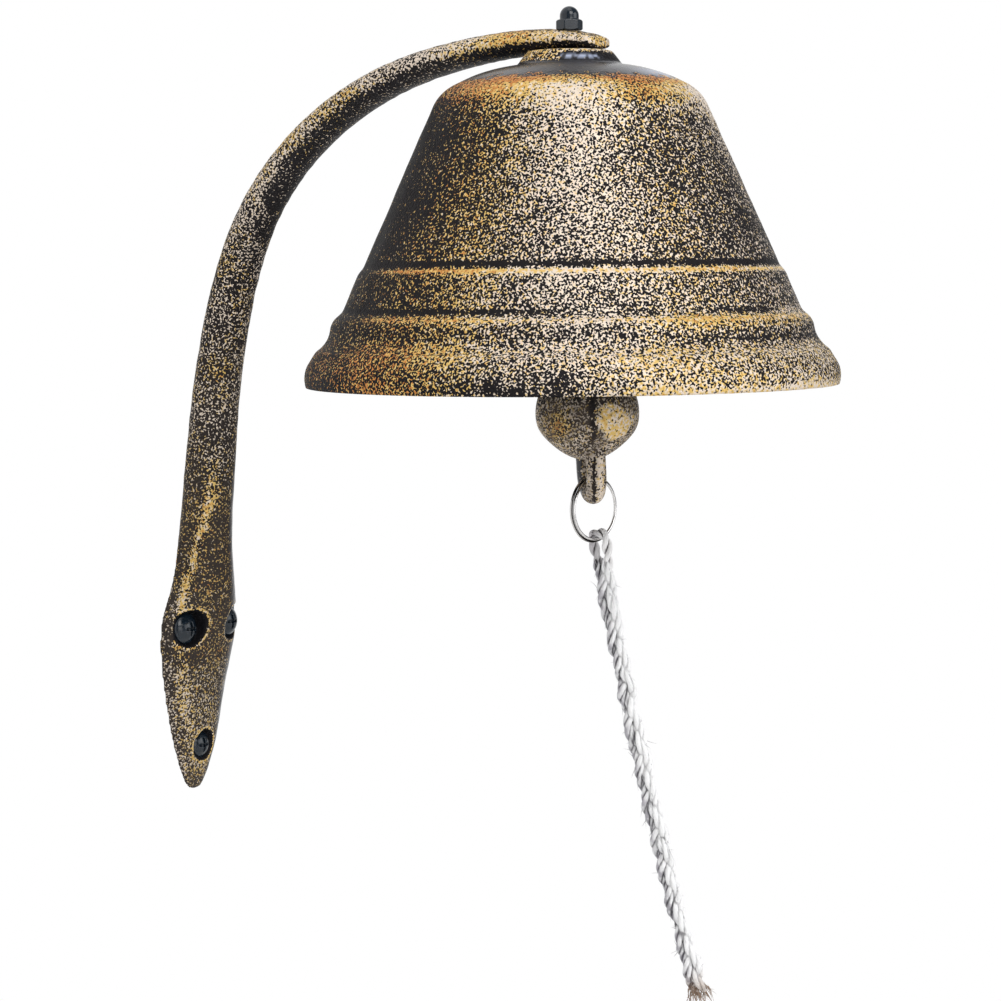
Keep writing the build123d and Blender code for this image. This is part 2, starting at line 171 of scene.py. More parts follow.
def makeCamera():
    v = cameraView
    a, p, r = np.radians([-v["azimuth"], v["pitch"], v["roll"]])
    level = np.array([np.sin(a), np.cos(a), 0])
    right = np.array([np.cos(a), -np.sin(a), 0])
    down = np.array([0, 0, -1.0])
    forward = level * np.cos(p) + down * np.sin(p)
    up = level * np.sin(p) - down * np.cos(p)
    place = np.array([0, -v["bellReach"], v["aimHeight"]]) - v["distance"] * level - v["aside"] * right
    matrix = np.eye(4)
    matrix[:3, 0] = np.cos(r) * right - np.sin(r) * up
    matrix[:3, 1] = np.sin(r) * right + np.cos(r) * up
    matrix[:3, 2] = -forward
    matrix[:3, 3] = place
    data = bpy.data.cameras.new("camera")
    data.lens, data.sensor_width, data.clip_start, data.clip_end = v["lens"], 36, 0.01, 50
    camera = bpy.data.objects.new("camera", data)
    scene.collection.objects.link(camera)
    camera.matrix_world = matrix.T.tolist()
    scene.camera = camera
    return level, right


photoAhead, photoRight = makeCamera()
print("camera done")


# Node helpers for the materials

def newMaterial(name):
    material = bpy.data.materials.new(name)
    material.use_nodes = True
    tree = material.node_tree
    return material, tree.nodes, tree.links, tree.nodes["Principled BSDF"]


def addNode(nodes, kind, **settings):
    node = nodes.new(kind)
    for key, value in settings.items():
        setattr(node, key, value)
    return node


def feed(links, socket, value):  # a link where the value is another node's output, and otherwise a plain value
    if hasattr(value, "links"):
        links.new(value, socket)
    elif isinstance(value, tuple):
        socket.default_value = (*value, 1)
    elif value is not None:
        socket.default_value = value


def mathNode(nodes, links, operation, a, b=None, c=None, clamp=False):
    node = addNode(nodes, "ShaderNodeMath", operation=operation, use_clamp=clamp)
    for socket, value in zip(node.inputs, (a, b, c)):
        feed(links, socket, value)
    return node.outputs[0]


def mixColour(nodes, links, factor, a, b):
    node = addNode(nodes, "ShaderNodeMix", data_type="RGBA")
    for k, value in ((0, factor), (6, a), (7, b)):  # the inputs of its colour kind
        feed(links, node.inputs[k], value)
    return node.outputs[2]


def mapRange(nodes, links, value, fromLow, fromHigh, toLow=0.0, toHigh=1.0):
    node = addNode(nodes, "ShaderNodeMapRange", interpolation_type="SMOOTHSTEP")
    for socket, given in zip(node.inputs, (value, fromLow, fromHigh, toLow, toHigh)):
        feed(links, socket, given)
    return node.outputs[0]


def noiseNode(nodes, links, place, scale, detail, distortion=0.0):
    node = nodes.new("ShaderNodeTexNoise")
    for name, value in (("Vector", place), ("Scale", scale), ("Detail", detail), ("Distortion", distortion)):
        feed(links, node.inputs[name], value)
    return node.outputs["Fac"]


def addRelief(nodes, links, shader, height, strength, distance):
    node = nodes.new("ShaderNodeBump")
    for name, value in (("Height", height), ("Strength", strength), ("Distance", distance)):
        feed(links, node.inputs[name], value)
    links.new(node.outputs["Normal"], shader.inputs["Normal"])


def objectPlace(nodes):
    return nodes.new("ShaderNodeTexCoord").outputs["Object"]


def pieceValue(nodes, name):  # one of the values that giveValues put on the piece
    return addNode(nodes, "ShaderNodeAttribute", attribute_name=name).outputs["Fac"]


# The cast finish: charcoal paint over a fine grain, with gold rubbed on the tops of the grain

castLook = {
    "grainScale": 1620.0,  # noise cells per metre
    "charcoal": (0.013, 0.0125, 0.0145),
    "brown": (0.080, 0.064, 0.052),
    "smoothPaint": (0.028, 0.028, 0.035),
    # painted highlight tone
    "scuffed": (0.40, 0.45, 0.60),
    "pale": (0.80, 0.685, 0.575),
    "yellow": (0.77, 0.53, 0.17),
    "orange": (0.57, 0.225, 0.06),
    "sparse": 0.674,  # how high a grain must be to catch gold where the rub is 0
    "dense": 0.326,  # and where it is 1: so the rub is about the share that is gold
    "edge": 0.05,
    "patches": 0.16,  # how much the rub varies from place to place
    "patchScale": 150.0,
    "tints": 1.9,  # how much the gold's colour varies from grain to grain
    "paintRough": 0.46,
    "goldRough": 0.36,
    "smoothRough": 0.24,
    "shine": (0.03, 0.4),  # the grained paint's and the smooth paint's
    "goldMetal": 0.25,
    "relief": 0.7,
}


def buildCastGroup():
    look = castLook
    group = bpy.data.node_groups.new("rubbedGrain", "ShaderNodeTree")
    for name in ("Place", "Rub", "Warmth", "Brown", "Bare", "Scuff"):
        kind = "NodeSocketVector" if name == "Place" else "NodeSocketFloat"
        group.interface.new_socket(name, in_out="INPUT", socket_type=kind)
    for name in ("Colour", "Gold", "Roughness", "Height"):
        kind = "NodeSocketColor" if name == "Colour" else "NodeSocketFloat"
        group.interface.new_socket(name, in_out="OUTPUT", socket_type=kind)
    nodes, links = group.nodes, group.links
    given, put = nodes.new("NodeGroupInput").outputs, nodes.new("NodeGroupOutput").inputs
    grain = noiseNode(nodes, links, given["Place"], look["grainScale"], 0.0, distortion=0.5)
    patch = noiseNode(nodes, links, given["Place"], look["patchScale"], 3.0)
    tint = noiseNode(nodes, links, given["Place"], look["grainScale"] * 0.6, 1.0)
    # the rub varies in patches, then sets how much of each grain is gold
    uneven = mathNode(nodes, links, "MULTIPLY_ADD", patch, look["patches"], -0.5 * look["patches"])
    rub = mathNode(nodes, links, "ADD", given["Rub"], uneven)
    level = mathNode(nodes, links, "MULTIPLY_ADD", rub, look["dense"] - look["sparse"], look["sparse"])
    gold = mapRange(nodes, links, grain, level, mathNode(nodes, links, "ADD", level, look["edge"]))
    # pale, yellow and orange grains lie side by side
    shift = mathNode(nodes, links, "MULTIPLY_ADD", tint, look["tints"], -0.5 * look["tints"])
    warmth = mathNode(nodes, links, "ADD", given["Warmth"], shift, clamp=True)
    leaf = mixColour(nodes, links, mapRange(nodes, links, warmth, 0.05, 0.5), look["pale"], look["yellow"])
    leaf = mixColour(nodes, links, mapRange(nodes, links, warmth, 0.5, 1.0), leaf, look["orange"])
    dull = mathNode(nodes, links, "MULTIPLY", given["Brown"], 0.6, clamp=True)
    leaf = mixColour(nodes, links, dull, leaf, look["brown"])
    base = mixColour(nodes, links, given["Brown"], look["charcoal"], look["brown"])
    base = mixColour(nodes, links, given["Bare"], base, look["smoothPaint"])
    # painted highlight: a pale bluish tone laid over the base
    base = mixColour(nodes, links, given["Scuff"], base, look["scuffed"])
    links.new(mixColour(nodes, links, gold, base, leaf), put["Colour"])
    links.new(gold, put["Gold"])
    rough = mapRange(nodes, links, gold, 0.0, 1.0, look["paintRough"], look["goldRough"])
    links.new(mapRange(nodes, links, given["Bare"], 0.0, 1.0, rough, look["smoothRough"]), put["Roughness"])
    links.new(mapRange(nodes, links, given["Bare"], 0.0, 1.0, grain, 0.5), put["Height"])
    return group


def makeCastMetal():
    # how rubbed, warm, brown or bare a place is, and where a highlight is painted on, comes from the piece's
    # own values
    look = castLook
    material, nodes, links, shader = newMaterial("rubbedBronze")
    grain = addNode(nodes, "ShaderNodeGroup", node_tree=buildCastGroup())
    links.new(objectPlace(nodes), grain.inputs["Place"])
    given = {name: pieceValue(nodes, name) for name in ("rub", "warmth", "brown", "scuff", "bare")}
    for name, value in given.items():
        links.new(value, grain.inputs[name.title()])
    shine = mapRange(nodes, links, given["bare"], 0.0, 1.0, *look["shine"])
    links.new(shine, shader.inputs["Specular IOR Level"])
    addRelief(nodes, links, shader, grain.outputs["Height"], look["relief"], 0.5 * mm)
    links.new(grain.outputs["Colour"], shader.inputs["Base Color"])
    links.new(grain.outputs["Roughness"], shader.inputs["Roughness"])
    metal = mapRange(nodes, links, grain.outputs["Gold"], 0.0, 1.0, 0.0, look["goldMetal"])
    links.new(metal, shader.inputs["Metallic"])
    return material


enamelLook = {
    "deep": (0.003, 0.007, 0.012),
    "thin": (0.010, 0.018, 0.028),
    "rough": (0.12, 0.22),
    "peelScale": 700.0,
    "peelRelief": 0.12,
}


def makeEnamel():
    look = enamelLook
    material, nodes, links, shader = newMaterial("blackEnamel")
    peel = noiseNode(nodes, links, objectPlace(nodes), look["peelScale"], 2.0)
    addRelief(nodes, links, shader, peel, look["peelRelief"], 0.2 * mm)
    links.new(mixColour(nodes, links, peel, look["deep"], look["thin"]), shader.inputs["Base Color"])
    links.new(mapRange(nodes, links, peel, 0.3, 0.7, *look["rough"]), shader.inputs["Roughness"])
    return material


steelLook = {
    "smearScale": 420.0,
    "dull": 0.72,  # the smears' share of the steel's colour
    "grooveShadeTone": (0.03, 0.027, 0.025),
}


def makeSteel(name, colour, rough, edge=(1, 1, 1)):
    look = steelLook
    material, nodes, links, shader = newMaterial(name)
    smear = noiseNode(nodes, links, objectPlace(nodes), look["smearScale"], 4.0)
    face = mixColour(nodes, links, smear, tuple(c * look["dull"] for c in colour), colour)
    # painted shade in the groove between the ring's turns
    face = mixColour(nodes, links, pieceValue(nodes, "groove"), face, look["grooveShadeTone"])
    links.new(face, shader.inputs["Base Color"])
    links.new(mapRange(nodes, links, smear, 0.3, 0.7, *rough), shader.inputs["Roughness"])
    shader.inputs["Metallic"].default_value = 1.0
    shader.inputs["Specular Tint"].default_value = (*edge, 1)
    return material


castMetal = makeCastMetal()
blackEnamel = makeEnamel()
brightSteel = makeSteel("brightSteel", (0.86, 0.84, 0.83), (0.10, 0.22), edge=(0.16, 0.14, 0.13))
zincSteel = makeSteel("zincSteel", (0.5, 0.5, 0.48), (0.3, 0.5))
print("materials done")


# The rope: its route first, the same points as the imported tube's, then its strands

ropeRoute = {
    "points": [  # metres, from the loop's foot down
        (0.007249, -0.150652, 0.027790),
        (0.009174, -0.152276, 0.012790),
        (0.011258, -0.155391, -0.006010),
        (0.014703, -0.158059, -0.028010),
        (0.018078, -0.162705, -0.051510),
        (0.021927, -0.165952, -0.074010),
        (0.024767, -0.169731, -0.092510),
        (0.027368, -0.172227, -0.107010),
    ],
    "diameter": 5.8 * mm,
    "length": 0.138,
}
ropeLook = {
    "yarn": 0.82 * mm,  # radius of each of a strand's three yarns
    "yarnReach": 0.72 * mm,
    "sway": 1.58 * mm,  # how far a strand goes aside
    "depth": 1.05 * mm,  # and forward and back
    "period": 33.0 * mm,  # one whole plait
    "turn": 0.35,  # the plait's flat side, turned from the camera's right
    "fibreLobes": 5,
    "yarnPitch": 13.0 * mm,
    "sides": 16,
    "step": 0.4 * mm,
    "uneven": 0.36 * mm,  # how far a strand strays from its place in the plait
    "fibres": 380,
    "hair": 0.085 * mm,  # a loose fibre's radius
    "hairLength": (0.9, 2.6),  # millimetres
    "tuft": 90,
    "tuftReach": (2.0 * mm, 6.0 * mm),
    "tuftFibre": 0.13 * mm,
    "halfWidth": 2.6 * mm,
    "phase": 1.3,  # how far round one strand's yarns start after the one before
}


def routeSpline():
    line = bpy.data.curves.new("ropeRoute", "CURVE")
    line.dimensions = "3D"
    line.resolution_u = 24
    spline = line.splines.new("NURBS")
    spline.points.add(len(ropeRoute["points"]) - 1)
    for point, place in zip(spline.points, ropeRoute["points"]):
        point.co = (*place, 1)
    spline.order_u = 3
    spline.use_endpoint_u = True
    holder = bpy.data.objects.new("ropeRoute", line)
    scene.collection.objects.link(holder)
    mesh = bpy.data.meshes.new_from_object(holder.evaluated_get(bpy.context.evaluated_depsgraph_get()))
    points = meshPoints(mesh)
    bpy.data.objects.remove(holder)
    bpy.data.curves.remove(line)
    bpy.data.meshes.remove(mesh)
    return points


yarnLook = {
    "clean": ((0.88, 0.88, 0.89), (0.97, 0.97, 0.97)),
    "fibreGrooveShade": (0.40, 0.38, 0.44),
    # painted shade tone for the darker side of the rope
    "soiled": (0.25, 0.23, 0.28),
    "crease": (0.035, 0.032, 0.042),
    "aged": (0.30, 0.17, 0.08),
    "fibreScale": 1500.0,
}


def makeRopeYarn():
    look = yarnLook
    material, nodes, links, shader = newMaterial("ropeYarn")
    fibre = noiseNode(nodes, links, objectPlace(nodes), look["fibreScale"], 3.0)
    colour = mixColour(nodes, links, fibre, *look["clean"])
    # painted shade in the grooves between each yarn's fibre bundles
    groove = mapRange(nodes, links, pieceValue(nodes, "yarn"), 0.0, 0.5, 0.25, 0.0)
    colour = mixColour(nodes, links, groove, colour, look["fibreGrooveShade"])
    # painted shade: the rope's darker side
    colour = mixColour(nodes, links, pieceValue(nodes, "soil"), colour, look["soiled"])
    colour = mixColour(nodes, links, pieceValue(nodes, "shade"), colour, look["crease"])
    colour = mixColour(nodes, links, pieceValue(nodes, "aged"), colour, look["aged"])
    links.new(colour, shader.inputs["Base Color"])
    shader.inputs["Roughness"].default_value = 0.85
    shader.inputs["Sheen Weight"].default_value = 0.25
    addRelief(nodes, links, shader, fibre, 0.5, 0.3 * mm)
    return material


ropeYarn = makeRopeYarn()


def strandTube(path, run, radius, sides, phase):
    # A tube whose radius rises and falls round it, as a few bundles of fibre twisted along its length
    turn = np.linspace(0, tau, sides, endpoint=False)
    twist = run[:, None] / ropeLook["yarnPitch"] * tau + phase
    lobes = np.abs(np.cos((turn[None, :] - twist) * ropeLook["fibreLobes"] / 2))
    size = radius[:, None] * (0.86 + 0.16 * lobes)
    verts, faces = closedTube(path, size[:, :, None], sides, np.array([0.3, 0.9, 0.1]))
    yarn = np.concatenate([lobes.ravel(), [1, 1]])
    where = np.concatenate([np.repeat(run, sides), [run[0], run[-1]]])
    return verts, faces, yarn, where


def joined(parts):  # several (verts, faces, values...) made one
    verts, faces, offset = [], [], 0
    values = [[] for _ in parts[0][2:]]
    for part in parts:
        verts.append(part[0])
        faces.extend([[i + offset for i in face] for face in map(list, part[1])])
        for k, value in enumerate(part[2:]):
            values[k].append(value)
        offset += len(part[0])
    return (np.vstack(verts), faces, *[np.concatenate(v) for v in values])


def creaseNear(verts, others, sides, radius, reach=9):
    # painted shade: 1 deep between the yarns, 0 on their open sides, by the distance to the other yarns'
    # middles
    rows = len(others[0])
    rings = verts[:rows * sides].reshape(rows, sides, 3)
    nearest = np.full((rows, sides), 1.0)
    for line in others:
        for shift in range(-reach, reach + 1, 3):
            at = np.clip(np.arange(rows) + shift, 0, rows - 1)
            nearest = np.minimum(nearest, np.linalg.norm(rings - line[at][:, None, :], axis=2))
    near = smoothStep(1.85 * radius, 1.1 * radius, nearest)
    return np.concatenate([near.ravel(), [0, 0]])


def fibreTubes(roots, ways, lengths, radius, seed, points=6, sides=4):
    # Thin hairs: each leaves its root along its way, bends aside and hangs a little, and tapers to its tip
    rng = np.random.default_rng(seed)
    count = len(roots)
    t = np.linspace(0, 1, points)[None, :, None]
    bend = rng.normal(0, 0.35, (count, 1, 3)) - np.array([0, 0, 0.25])
    lines = roots[:, None, :] + lengths[:, None, None] * (t * unit(ways)[:, None, :] + t ** 2 * bend)
    along = unit(np.gradient(lines, axis=1))
    side = unit(np.cross(along, rng.normal(size=(count, 1, 3))))
    up = np.cross(side, along)
    turn = np.linspace(0, tau, sides, endpoint=False)[None, None, :, None]
    thick = radius * (1.05 - t[..., None] ** 2)
    ring = np.cos(turn) * side[:, :, None, :] + np.sin(turn) * up[:, :, None, :]
    rings = lines[:, :, None, :] + thick * ring
    quads = gridFaces(points, sides)
    faces = (quads[None] + (np.arange(count) * points * sides)[:, None, None]).reshape(-1, 4)
    return rings.reshape(-1, 3), faces


def plaitLines(path, run, side, face):
    # The middles of three strands: a wave aside and one of twice the pace to and fro, both a little uneven
    look, end = ropeLook, run[-1]
    opening = smoothStep(end - 7 * mm, end, run) * 0.7 * mm  # the strands part at the cut end
    lines = []
    for k in range(3):
        theta = tau * (run / look["period"] + k / 3) + 0.35 * waves(path, 24 * mm, 60 + k, 4)
        aside = look["sway"] * np.sin(theta) + look["uneven"] * waves(path, 9 * mm, 40 + k, 4)
        toward = look["depth"] * np.sin(2 * theta) + look["uneven"] * waves(path, 9 * mm, 50 + k, 4)
        away = np.cos(tau * k / 3) * side + np.sin(tau * k / 3) * face
        lines.append(path + aside[:, None] * side + toward[:, None] * face + opening[:, None] * away)
    return lines


def yarnLines(strands, run, side):  # the middles of three yarns wound round each strand's
    look = ropeLook
    yarns = []
    for k, line in enumerate(strands):
        ahead = unit(np.gradient(line, axis=0))
        out = unit(np.cross(ahead, side))
        over = np.cross(ahead, out)
        for j in range(3):
            wind = (tau * (run / look["yarnPitch"] + j / 3) + k * look["phase"])[:, None]
            yarns.append(line + look["yarnReach"] * (np.cos(wind) * out + np.sin(wind) * over))
    return yarns


def makeFibres(verts, where, path, along, side, strands):
    # loose fibres lie off the strands all the way down, and a tuft opens at the end
    look = ropeLook
    rng = np.random.default_rng(17)
    count = look["fibres"]
    at = rng.integers(0, len(verts) - 6, count)
    middle = path[np.clip((where[at] / look["step"]).astype(int), 0, len(path) - 1)]
    outward = unit(verts[at] - middle)
    upOrDown = rng.choice([-1.0, 1.0], count)[:, None] * along[10]
    ways = 0.35 * outward + upOrDown + rng.normal(0, 0.3, (count, 3))
    hair = fibreTubes(verts[at], ways, rng.uniform(*look["hairLength"], count) * mm, look["hair"], 18)
    count = look["tuft"]
    which = rng.integers(0, 3, count)
    roots = np.stack(strands)[which, -1] + rng.normal(0, 0.55 * mm, (count, 3)) - along[-1] * 1.2 * mm
    fork = np.where(rng.random(count) < 0.5, -0.32, 0.34)[:, None] * side[-1]
    ways = along[-1] + fork + rng.normal(0, 0.13, (count, 3))
    tuft = fibreTubes(roots, ways, rng.uniform(*look["tuftReach"], count), look["tuftFibre"], 19)
    verts, faces, old = joined([(*hair, np.zeros(len(hair[0]))), (*tuft, np.ones(len(tuft[0])))])
    fibres = newPiece("ropeFibres", verts, faces, "rope", "rope_yarn", ropeYarn)
    # the loose fibres take a share of the painted shade tone
    giveValues(fibres, yarn=1.0, aged=old * 0.75, shade=0.35 + 0.2 * old, soil=0.4)
    return fibres


def makeRope():
    look = ropeLook
    spline = routeSpline()
    path, run = evenly(spline, look["step"])
    along = unit(np.gradient(path, axis=0))
    flat = np.cos(look["turn"]) * photoRight - np.sin(look["turn"]) * photoAhead
    side = unit(flat - (along @ flat)[:, None] * along)
    strands = plaitLines(path, run, side, np.cross(along, side))
    yarns = yarnLines(strands, run, side)
    end = run[-1]
    # each yarn is thinner where it leaves the loop and at the cut end, and swells a little on its way
    thin = (1 - 0.35 * smoothStep(end - 3 * mm, end, run)) * (0.35 + 0.65 * smoothStep(0, 3.5 * mm, run))
    parts = []
    for k, line in enumerate(yarns):
        swell = 1 + 0.11 * waves(line, 6 * mm, 70 + k)
        tube = strandTube(line, run, look["yarn"] * swell * thin, look["sides"], k * look["phase"])
        parts.append((*tube, creaseNear(tube[0], yarns[:k] + yarns[k + 1:], look["sides"], look["yarn"])))
    verts, faces, yarn, where, crease = joined(parts)
    rope = newPiece("pullRope", verts, faces, "rope", "rope_yarn", ropeYarn)
    # painted shade: one side of the plait is darker, and its creases are darker there
    spot = np.clip((where / look["step"]).astype(int), 0, len(path) - 1)
    off = ((verts - path[spot]) * side[spot]).sum(1) / look["halfWidth"]
    soil = smoothStep(0.35, -0.7, off) * (0.35 + 0.65 * smoothStep(-0.3, 0.4, waves(verts, 2.6 * mm, 81)))
    crease = crease * (0.3 + 0.7 * smoothStep(0.5, -0.4, off + 0.35 * waves(verts, 3 * mm, 82)))
    aged = 0.55 * smoothStep(end - 8 * mm, end, where)
    giveValues(rope, yarn=yarn, aged=aged, shade=crease, soil=0.75 * soil)
    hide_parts("rope")
    return rope, makeFibres(verts, where, path, along, side, strands), spline


pullRope, ropeFibres, ropeLine = makeRope()

ropeEyeShape = {
    "centre": (7.2 * mm, -150.13 * mm, 33.2 * mm),
    "up": (-0.126523, 0.106759, 0.986202),
    "across": (0.223487, 0.971699, -0.076517),
    "radius": 2.75 * mm,
    "ply": 0.86 * mm,  # radius of each of the loop's two plies
    "plyReach": 0.78 * mm,
    "plyPitch": 10.0 * mm,
    "leg": 11.5 * mm,
    "lean": 0.56,  # how far the legs draw in towards the plait
    "sides": 20,
    "step": 0.3 * mm,
}


def makeRopeEye():
    # The loop over the ring: two plies wound round each other, whose legs run down into the plait
    look = ropeEyeShape
    centre, up, across = map(np.array, (look["centre"], look["up"], look["across"]))
    turn = np.linspace(0, np.pi, 40)[:, None]
    arc = centre + look["radius"] * (-np.cos(turn) * across + np.sin(turn) * up)
    t = np.linspace(0, 1, 30)[1:, None]
    reach = look["radius"] * (1 - look["lean"] * smoothStep(0, 1, t)) * across
    drop = look["leg"] * t * up
    route = np.vstack([(centre - reach - drop)[::-1], arc, centre + reach - drop])
    path, run = evenly(route, look["step"])
    along = unit(np.gradient(path, axis=0))
    out = unit(np.cross(along, np.cross(across, up)))
    over = np.cross(along, out)
    wind = (run / look["plyPitch"] * tau + 0.9)[:, None]
    offset = look["plyReach"] * (np.cos(wind) * out + np.sin(wind) * over)
    plies = [path + offset, path - offset]
    parts = []
    for k, line in enumerate(plies):
        tube = strandTube(line, run, np.full(len(run), look["ply"]), look["sides"], 1.1 * k)
        rings = tube[0][:-2].reshape(len(line), look["sides"], 3)
        # painted shade between the two plies
        gap = np.linalg.norm(rings - plies[1 - k][:, None, :], axis=2)
        crease = smoothStep(1.95 * look["ply"], 1.2 * look["ply"], gap)
        parts.append((*tube, np.concatenate([crease.ravel(), [0, 0]])))
    verts, faces, yarn, where, shade = joined(parts)
    piece = newPiece("ropeEye", verts, faces, "rope", "rope_yarn", ropeYarn)
    # painted shade: the loop is darker towards its left
    soil = smoothStep(0.5, -1.0, (verts - centre) @ photoRight / look["radius"])
    giveValues(piece, yarn=yarn, aged=0.08, shade=shade, soil=0.55 * soil)
    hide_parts("rope_eye")
    return piece


makeRopeEye()
print("rope done")


# The bell: its profile, taken round its axis

bellShape = {
    "axisY": -145.0 * mm,
    "lip": 80.8 * mm,
    "columns": 300,
    "outerStep": 0.72,  # millimetres between rows outside
    "innerStep": 3.0,
    "rounding": 0.5,
    "lumps": 0.12 * mm,
}


def arcThrough(a, b, c, count=14):  # the circle through three points, walked from a to c
    a, b, c = np.array(a, float), np.array(b, float), np.array(c, float)
    d = 2 * (a[0] * (b[1] - c[1]) + b[0] * (c[1] - a[1]) + c[0] * (a[1] - b[1]))
    x = ((a @ a) * (b[1] - c[1]) + (b @ b) * (c[1] - a[1]) + (c @ c) * (a[1] - b[1])) / d
    y = ((a @ a) * (c[0] - b[0]) + (b @ b) * (a[0] - c[0]) + (c @ c) * (b[0] - a[0])) / d
    centre = np.array([x, y])
    turns = np.unwrap([np.arctan2(*(p - centre)[::-1]) for p in (a, b, c)])
    t = np.linspace(turns[0], turns[2], count)
    return centre + np.hypot(*(a - centre)) * np.stack([np.cos(t), np.sin(t)], 1)


def bellProfile():
    # radius and height above the lip in millimetres: first the outside from the lip up, then the hollow down
    outer = np.vstack([
        arcThrough((79.6, 0), (80, 2.4), (79.1, 6.5)),
        arcThrough((76.7, 10.5), (73.39, 13.6), (72.1, 17.9)),
        [(71, 20), (68.4, 22.2), (63.6, 33.5), (62, 35.3), (41.4, 81.5)],
        arcThrough((41.4, 81.5), (38.3, 86.4), (33.6, 89.5)),
        arcThrough((33.6, 89.5), (25.6, 92.7), (15.8, 94.6)),
        [(12.6, 98.8), (9.0, 98.8)],
    ])
    inner = np.vstack([
        [(9.0, 98.8), (2.25, 98.8), (2.25, 89.0), (12.6, 89.0)],
        arcThrough((12.6, 89.0), (28, 86.8), (36.36, 81.5)),
        [(56.96, 35.3), (67.5, 17.9), (72.56, 8.4), (75.4, 0), (79.6, 0)],
    ])
    outer = evenly(outer, bellShape["outerStep"])[0]
    soft = outer.copy()
    reach = np.exp(-0.5 * (np.arange(-3, 4) * bellShape["outerStep"] / bellShape["rounding"]) ** 2)
    reach /= reach.sum()
    for k in range(2):
        soft[3:-3, k] = np.convolve(outer[:, k], reach, mode="valid")
    return np.vstack([soft, evenly(inner, bellShape["innerStep"])[0][1:-1]]), len(outer)


def photoTurn(points):  # degrees round the bell's axis from the side that faces the camera, + to its right
    out = points[:, :2] - np.array([0, bellShape["axisY"]])
    return np.degrees(np.arctan2(out @ photoRight[:2], -out @ photoAhead[:2]))


# Partly wear and partly painted light: the gold is densest near the side that faces the camera, as a painted
# highlight, and sparsest on the left flank, as painted shade
bellWearAndLight = {  # share of gold by height above the lip (rows) and by the turn round the axis (columns)
    "turns": [-110, -78, -60, -45, -30, -15, 0, 15, 30, 60, 80, 110],
    "heights": [0, 2.5, 6, 11, 16, 28, 50, 76, 83, 86, 89],
    "gold": [
        [0.3, -0.2, -0.1, 0.45, 0.52, 0.15, 0.3, 1.15, 1.2, 1.3, 0.7, 0.3],
        [0.3, 0.0, 0.1, 0.45, 0.36, 0.17, 0.3, 0.8, 0.62, 0.54, 0.4, 0.3],
        [0.3, 0.1, 0.25, 0.36, 0.4, 0.42, 0.39, 0.72, 0.6, 0.47, 0.4, 0.3],
        [0.3, 0.05, 0.2, 0.5, 0.68, 0.6, 0.62, 0.75, 0.6, 0.55, 0.45, 0.3],
        [0.3, -0.1, 0.02, 0.2, 0.34, 0.36, 0.39, 0.43, 0.38, 0.19, 0.0, 0.3],
        [0.3, -0.15, -0.05, 0.2, 0.38, 0.46, 0.42, 0.46, 0.42, 0.19, 0.25, 0.3],
        [0.3, -0.35, -0.2, 0.09, 0.24, 0.4, 0.58, 0.49, 0.27, 0.12, 0.0, 0.3],
        [0.3, -0.35, -0.2, 0.1, 0.25, 0.49, 0.62, 0.5, 0.24, 0.3, 0.6, 0.3],
        [0.4, -0.1, 0.0, 0.28, 0.5, 0.8, 0.92, 0.74, 0.45, 0.72, 1.0, 0.4],
        [0.6, 0.4, 0.5, 0.85, 1.0, 1.05, 1.1, 0.9, 0.75, 1.0, 1.1, 0.6],
        [0.3, 0.4, 0.6, 0.8, 0.9, 0.8, 0.7, 0.75, 0.7, 0.95, 0.9, 0.3],
    ],
    # painted highlight: the gold is palest near the turn 0
    "warmth": {  # 0 pale, 0.5 yellow, 1 orange, at the same turns
        "body": [0.4, 0.5, 0.55, 0.6, 0.45, 0.12, -0.05, 0.08, 0.25, 0.1, 0.0, 0.3],
        "shoulder": [0.5, 0.8, 0.9, 0.8, 0.62, 0.3, 0.02, 0.3, 0.8, 0.2, -0.3, 0.4],
        "lip": [0.5, 0.8, 0.85, 0.85, 0.5, 0.08, 0.1, 0.3, 0.25, 0.15, 0.3, 0.5],
    },
    "ridges": (20.6, 34.2),  # heights of the worn lines along the two ledges
    "band": 19.3,  # and of the gold band under the lower one
    "creaseShadeLines": (14.8, 22.9, 36.2),
    "crown": (88.9, 91.2),  # where the smooth paint starts, and where it is full
    "boss": (94.9, 95.4),  # the same for the boss over it
}


